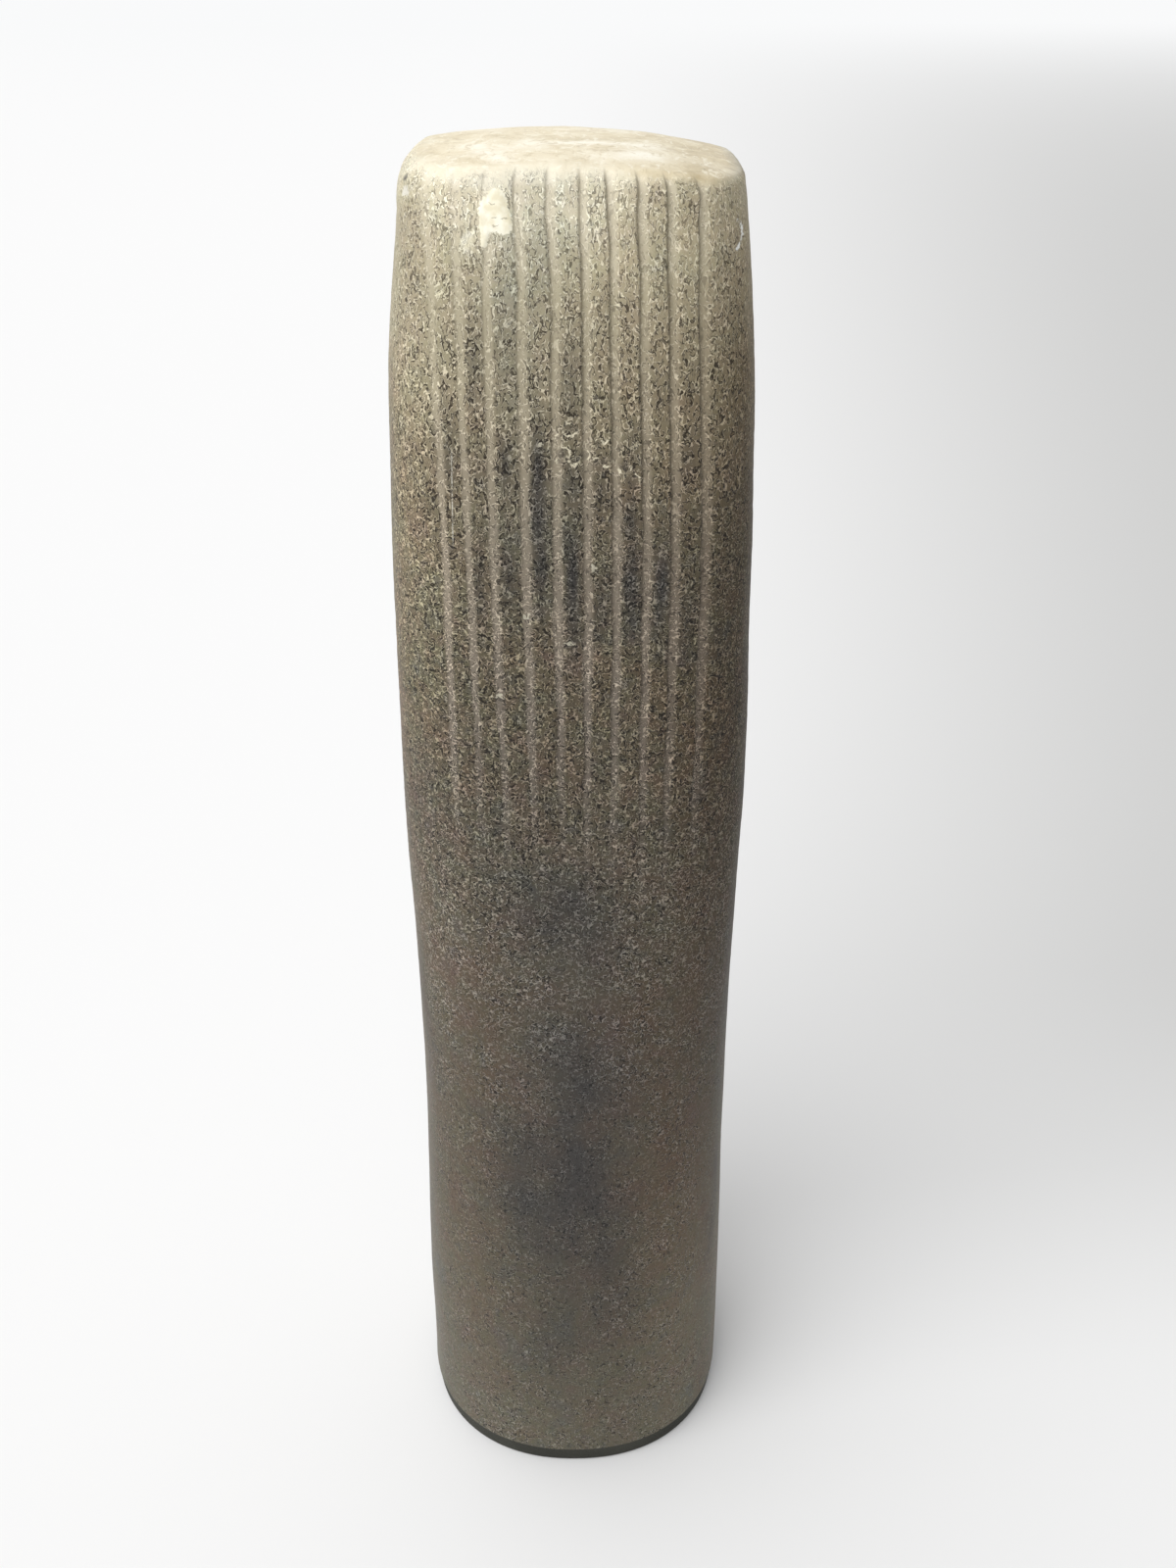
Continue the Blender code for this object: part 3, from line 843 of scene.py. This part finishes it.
    # Worn cream crown with paler streaks.
    blot = n.noise(where, 150.0, 4.0, 0.62, 0.6)
    cream = n.ramp(blot, [
        (0.30, lin(208, 194, 160)),
        (0.46, lin(226, 213, 182)),
        (0.56, lin(233, 222, 194)),
        (0.70, lin(240, 232, 210)),
    ])
    cream = n.mix(n.math("MULTIPLY", corner, 0.65), cream, n.ramp(blot, [(0.35, lin(186, 168, 132)), (0.62, lin(222, 208, 174))]))
    drawn = n.noise(n.vector("MULTIPLY", where, (1.0, 0.55, 1.0)), 620.0, 3.0, 0.65, 1.2)
    cream = n.mix(n.remap(drawn, 0.55, 0.64, 0.0, 0.60), cream, lin(250, 244, 226))
    cream = n.mix(n.remap(drawn, 0.45, 0.34, 0.0, 0.50), cream, lin(196, 180, 146))
    streaky = n.math("MULTIPLY", streak, n.remap(drawn, 0.36, 0.50, 0.25, 0.90))
    cream = n.mix(streaky, cream, lin(254, 249, 234))
    specks = n.math("MULTIPLY", n.remap(n.noise(where, 1500.0, 1.0), 0.69, 0.76), corner)
    cream = n.mix(n.math("MULTIPLY", specks, 0.6), cream, lin(120, 106, 82))
    cream = n.mix(n.math("MULTIPLY", grey, 0.75), cream, n.ramp(blot, [(0.35, lin(172, 166, 148)), (0.62, lin(206, 200, 182))]))
    tone = n.mix(crown, tone, cream)
    # Painted highlight along the left of the rim.
    tone = n.mix(n.math("MULTIPLY", rim, 0.45), tone, lin(246, 241, 224))

    # Crusted patch, fresh nicks with painted shadows below them, flaked spots with painted shade in their hollows,
    # chips and one thin scratch, with ragged edges.
    shake = n.vector("SUBTRACT", n.noise_node(where, 1300.0, 2.0, 0.6).outputs["Color"], (0.5, 0.5, 0.5))
    shaken = n.vector("ADD", where, n.vector("MULTIPLY", shake, (0.0013, 0.0013, 0.0013)))
    edge = n.nearest([n.spot(shaken, (cx, CRUST_Y, cz), (rx, 6.0, rz)) for cx, cz, rx, rz in CRUST])
    crust = n.remap(edge, 0.96, 1.12, 1.0, 0.0)
    holes = n.nearest([n.spot(shaken, (cx, CRUST_Y, cz), (rx, 6.0, rz)) for cx, cz, rx, rz in CRUST_HOLES])
    crust_tone = n.ramp(n.noise(where, 700.0, 3.0), [(0.35, lin(232, 224, 196)), (0.62, lin(250, 246, 228))])
    crust_tone = n.mix(n.remap(holes, 0.7, 1.3, 0.62, 0.0), crust_tone, lin(150, 140, 116))
    cx, cz, rx, rz = CRUST_FAINT
    faint = n.remap(n.spot(shaken, (cx, CRUST_Y, cz), (rx, 6.0, rz)), 0.7, 1.25, 0.55, 0.0)
    tone = n.mix(n.math("MAXIMUM", crust, faint), tone, crust_tone)

    shaken = n.vector("ADD", where, n.vector("MULTIPLY", shake, (0.0026, 0.0026, 0.0026)))
    nicks = n.nearest([n.spot(shaken, (cx, cy, cz), (rx, 4.0, rz)) for cx, cy, cz, rx, rz in NICKS])
    nick = n.remap(nicks, 0.66, 0.98, 0.80, 0.0)
    # Painted shadow just below each nick.
    nick_shadow = n.nearest([n.spot(shaken, (cx + 0.15, cy, cz - 0.40), (rx, 4.0, rz)) for cx, cy, cz, rx, rz in NICKS])
    tone = n.mix(n.remap(nick_shadow, 0.60, 1.05, 0.60, 0.0), tone, lin(46, 42, 38))
    small = n.vector("ADD", where, n.vector("MULTIPLY", shake, (0.0010, 0.0010, 0.0012)))
    lips, hollows = [], []
    for cx, cz, radius, side in FLAKES:
        turn = math.radians(side)
        hollow = n.spot(small, (cx, FLAKE_Y, cz), (radius, 30.0, radius))
        off = n.math("MULTIPLY", n.math("ABSOLUTE", n.math("SUBTRACT", hollow, 1.0)), radius / 0.13)
        middle = (cx + radius * math.cos(turn), FLAKE_Y, cz + radius * math.sin(turn))
        end = n.spot(small, middle, (radius * 1.05, 30.0, radius * 1.05))
        lips.append(n.math("MAXIMUM", off, end))
        hollows.append(hollow)
    lip = n.remap(n.nearest(lips), 0.75, 1.50, 0.95, 0.0)
    lip = n.math("MULTIPLY", lip, n.remap(n.noise(where, 1500.0, 1.0, 0.5), 0.42, 0.56, 0.12, 1.0))
    # Painted shade in the hollow of each flaked spot.
    hollow = n.remap(n.nearest(hollows), 0.45, 1.0, 0.42, 0.0)
    on_front = n.remap(y, -0.02, -0.01, 1.0, 0.0)
    tone = n.mix(n.math("MULTIPLY", hollow, on_front), tone, lin(78, 72, 63))
    tone = n.mix(n.math("MULTIPLY", lip, on_front), tone, lin(216, 207, 182))
    thin = n.vector("ADD", where, n.vector("MULTIPLY", shake, (0.0006, 0.0006, 0.0010)))
    chips = n.nearest([n.spot(thin, c, (0.06 + 0.13 * math.cos(0.17 * (step - 8)), 2.0, 0.36)) for step, c in enumerate(CHIP_RIGHT)])
    chip = n.remap(chips, 0.90, 1.25, 0.95, 0.0)
    chip = n.math("MULTIPLY", chip, n.remap(n.noise(where, 1100.0, 1.0, 0.5), 0.42, 0.54, 0.12, 1.0))
    left = n.remap(n.spot(shaken, CHIP_LEFT, (1.1, 1.8, 0.75)), 0.8, 1.2, 0.9, 0.0)
    pit = n.remap(n.spot(shaken, (-23.6, -19.4, 251.6), (0.9, 1.8, 1.2)), 0.6, 1.2, 0.75, 0.0)
    line = n.math("ABSOLUTE", n.math("ADD", n.math("ADD", x, 0.0229), n.math("MULTIPLY", z, -0.025)))
    scratch = n.remap(line, 0.00005, 0.00013, 0.70, 0.0)
    scratch = n.math("MULTIPLY", scratch, n.remap(fine, 0.40, 0.56, 0.15, 1.0))
    scratch = n.math("MULTIPLY", scratch, n.remap(z, 0.2000, 0.2015))
    scratch = n.math("MULTIPLY", scratch, n.remap(z, 0.2145, 0.2150, 1.0, 0.0))
    scratch = n.math("MULTIPLY", scratch, n.remap(y, -0.02, -0.01, 1.0, 0.0))
    tone = n.mix(pit, tone, lin(84, 82, 80))
    tone = n.mix(nick, tone, lin(196, 190, 170))
    tone = n.mix(n.math("MAXIMUM", left, scratch), tone, lin(214, 210, 198))
    tone = n.mix(chip, tone, lin(252, 252, 248))

    # Painted shade on the foot below the arris, where it faces the floor.
    tone = n.mix(foot, tone, n.ramp(wander, [(0.35, lin(58, 58, 53)), (0.65, lin(70, 70, 64))]))
    n.link(tone, n.shader.inputs["Base Color"])

    # Sheen: satin grip, dry head.
    dull = n.remap(pecked, 0.2, 1.0, 0.50, 0.86, "LINEAR")
    n.link(n.math("ADD", dull, n.math("MULTIPLY", n.math("SUBTRACT", fine, 0.5), 0.30), True), n.shader.inputs["Roughness"])
    n.link(n.remap(foot, 0.0, 1.0, 0.38, 0.05), n.shader.inputs["Specular IOR Level"])

    # Fine relief of the grain.
    bump = n.new("ShaderNodeBump")
    bump.inputs["Distance"].default_value = 0.0004
    bare = n.math("SUBTRACT", 1.0, crust)
    n.link(n.math("MULTIPLY", n.math("MULTIPLY", strong, 0.7), bare), bump.inputs["Strength"])
    n.link(relief, bump.inputs["Height"])
    n.link(bump.outputs["Normal"], n.shader.inputs["Normal"])
    return material


# Broad tones of the stone over its height, and of the groove floors.
TONES = [
    (0.00, lin(91, 87, 78)),
    (0.10, lin(86, 80, 70)),
    (0.20, lin(83, 76, 65)),
    (0.30, lin(79, 72, 62)),
    (0.39, lin(79, 72, 63)),
    (0.475, lin(79, 72, 64)),
    (0.553, lin(80, 74, 66)),
    (0.626, lin(81, 74, 65)),
    (0.694, lin(88, 81, 70)),
    (0.74, lin(94, 87, 75)),
    (0.80, lin(106, 99, 84)),
    (0.87, lin(132, 123, 103)),
    (0.927, lin(160, 151, 128)),
    (0.955, lin(176, 167, 142)),
    (0.98, lin(209, 201, 178)),
]
FLOOR_TONES = [
    (0.50, lin(88, 81, 72)),
    (0.66, lin(114, 105, 95)),
    (0.76, lin(130, 120, 105)),
    (0.85, lin(148, 138, 118)),
    (0.927, lin(170, 161, 136)),
    (0.98, lin(208, 199, 176)),
]
# Strength of the grain's pale and dark strokes.
PALE_STROKES = 1.45
DARK_STROKES = 1.30


BACKDROP = (0.95, 0.955, 0.96, 1.0)


def floor_material():
    """Plain pale paper, with painted shade that darkens it a little towards +X, away from the light."""
    material = bpy.data.materials.new("pale_floor")
    n = Nodes(material)
    split = n.new("ShaderNodeSeparateXYZ")
    n.link(n.new("ShaderNodeTexCoord").outputs["Object"], split.inputs[0])
    x, y, _ = split.outputs
    ahead = n.math("ADD", y, 0.6)
    far = n.math("ADD", n.math("MULTIPLY", x, x), n.math("MULTIPLY", ahead, ahead))
    across = n.math("DIVIDE", x, n.math("SQRT", n.math("ADD", far, 0.09)))
    # Painted shade: the paper darkens away from the light.
    painted_floor_shade = n.math("MULTIPLY", n.remap(across, -0.06, 0.34), n.remap(across, 0.38, 0.70, 1.0, 0.0))
    painted_floor_shade = n.math("MULTIPLY", painted_floor_shade, n.remap(y, -0.06, 0.16, 0.10, 1.0))
    paper = n.ramp(painted_floor_shade, [(0.0, (0.85, 0.85, 0.85, 1.0)), (1.0, (0.54, 0.54, 0.535, 1.0))])
    n.link(paper, n.shader.inputs["Base Color"])
    n.shader.inputs["Roughness"].default_value = 0.9
    n.shader.inputs["Specular IOR Level"].default_value = 0.0
    # Far away it turns into the backdrop.
    beyond = n.math("SUBTRACT", y, 4.0)
    wide = n.math("MULTIPLY", x, 2.8)
    far = n.math("SQRT", n.math("ADD", n.math("MULTIPLY", wide, wide), n.math("MULTIPLY", beyond, beyond)))
    glow = n.new("ShaderNodeEmission")
    glow.inputs["Color"].default_value = BACKDROP
    glow.inputs["Strength"].default_value = 1.0
    blend = n.new("ShaderNodeMixShader")
    n.link(n.math("MAXIMUM", n.remap(far, 4.8, 13.0), n.remap(y, 1.0, 7.0)), blend.inputs["Fac"])
    n.link(n.shader.outputs["BSDF"], blend.inputs[1])
    n.link(glow.outputs["Emission"], blend.inputs[2])
    n.link(blend.outputs["Shader"], n.tree.nodes["Material Output"].inputs["Surface"])
    return material


# ------------------------------------------------------------ build
scene = bpy.context.scene
stone = stone_object()
stone.data.materials.append(stone_material())
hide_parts("pounder_stone")
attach(stone, "root")

floor_mesh = bpy.data.meshes.new("floor")
floor_mesh.from_pydata([(-30, -30, 0), (30, -30, 0), (30, 30, 0), (-30, 30, 0)], [], [(0, 1, 2, 3)])
floor = bpy.data.objects.new("floor", floor_mesh)
floor.location = (0.0, 0.0, -0.0002)
scene.collection.objects.link(floor)
floor_mesh.materials.append(floor_material())

# ------------------------------------------------------------ light: soft, from the left, with a paler backdrop behind
world = bpy.data.worlds.new("studio")
world.use_nodes = True
scene.world = world
tree = world.node_tree


def from_direction(socket, low, high, at_low, at_high):
    node = tree.nodes.new("ShaderNodeMapRange")
    node.inputs["From Min"].default_value = low
    node.inputs["From Max"].default_value = high
    node.inputs["To Min"].default_value = at_low
    node.inputs["To Max"].default_value = at_high
    tree.links.new(socket, node.inputs["Value"])
    return node.outputs["Result"]


background = tree.nodes["Background"]
background.inputs["Color"].default_value = (1.0, 1.0, 1.0, 1.0)
parts = tree.nodes.new("ShaderNodeSeparateXYZ")
tree.links.new(tree.nodes.new("ShaderNodeTexCoord").outputs["Generated"], parts.inputs[0])
depth = tree.nodes.new("ShaderNodeMath")
tree.links.new(from_direction(parts.outputs["Y"], -1.0, 0.0, -0.43, 0.0), depth.inputs[0])
tree.links.new(from_direction(parts.outputs["Y"], 0.0, 1.0, 0.0, 0.30), depth.inputs[1])
total = tree.nodes.new("ShaderNodeMath")
tree.links.new(from_direction(parts.outputs["X"], -1.0, 1.0, 1.25, 0.14), total.inputs[0])
tree.links.new(depth.outputs[0], total.inputs[1])
tree.links.new(total.outputs[0], background.inputs["Strength"])
seen = tree.nodes.new("ShaderNodeBackground")
seen.inputs["Color"].default_value = BACKDROP
seen.inputs["Strength"].default_value = 1.0
path = tree.nodes.new("ShaderNodeLightPath")
both = tree.nodes.new("ShaderNodeMixShader")
tree.links.new(path.outputs["Is Camera Ray"], both.inputs["Fac"])
tree.links.new(background.outputs["Background"], both.inputs[1])
tree.links.new(seen.outputs["Background"], both.inputs[2])
tree.links.new(both.outputs["Shader"], tree.nodes["World Output"].inputs["Surface"])


def sun(name, towards, strength, angle):
    lamp = bpy.data.lights.new(name, "SUN")
    lamp.energy = strength
    lamp.angle = math.radians(angle)
    obj = bpy.data.objects.new(name, lamp)
    obj.rotation_euler = Vector(towards).to_track_quat("-Z", "Y").to_euler()
    scene.collection.objects.link(obj)
    return obj


sun("key", (0.45, 0.67, -0.80), 2.1, 60.0)

# ------------------------------------------------------------ camera
camera_data = bpy.data.cameras.new("camera")
camera_data.lens = 36.067
camera_data.sensor_width = 36.0
camera_data.clip_start = 0.01
camera = bpy.data.objects.new("camera", camera_data)
camera.location = (0.0, -0.25563, 0.28092)
camera.rotation_euler = Euler((math.radians(90.0 - 28.165), 0.0, math.radians(-0.65)))
scene.collection.objects.link(camera)
scene.camera = camera

scene.view_settings.view_transform = "Standard"
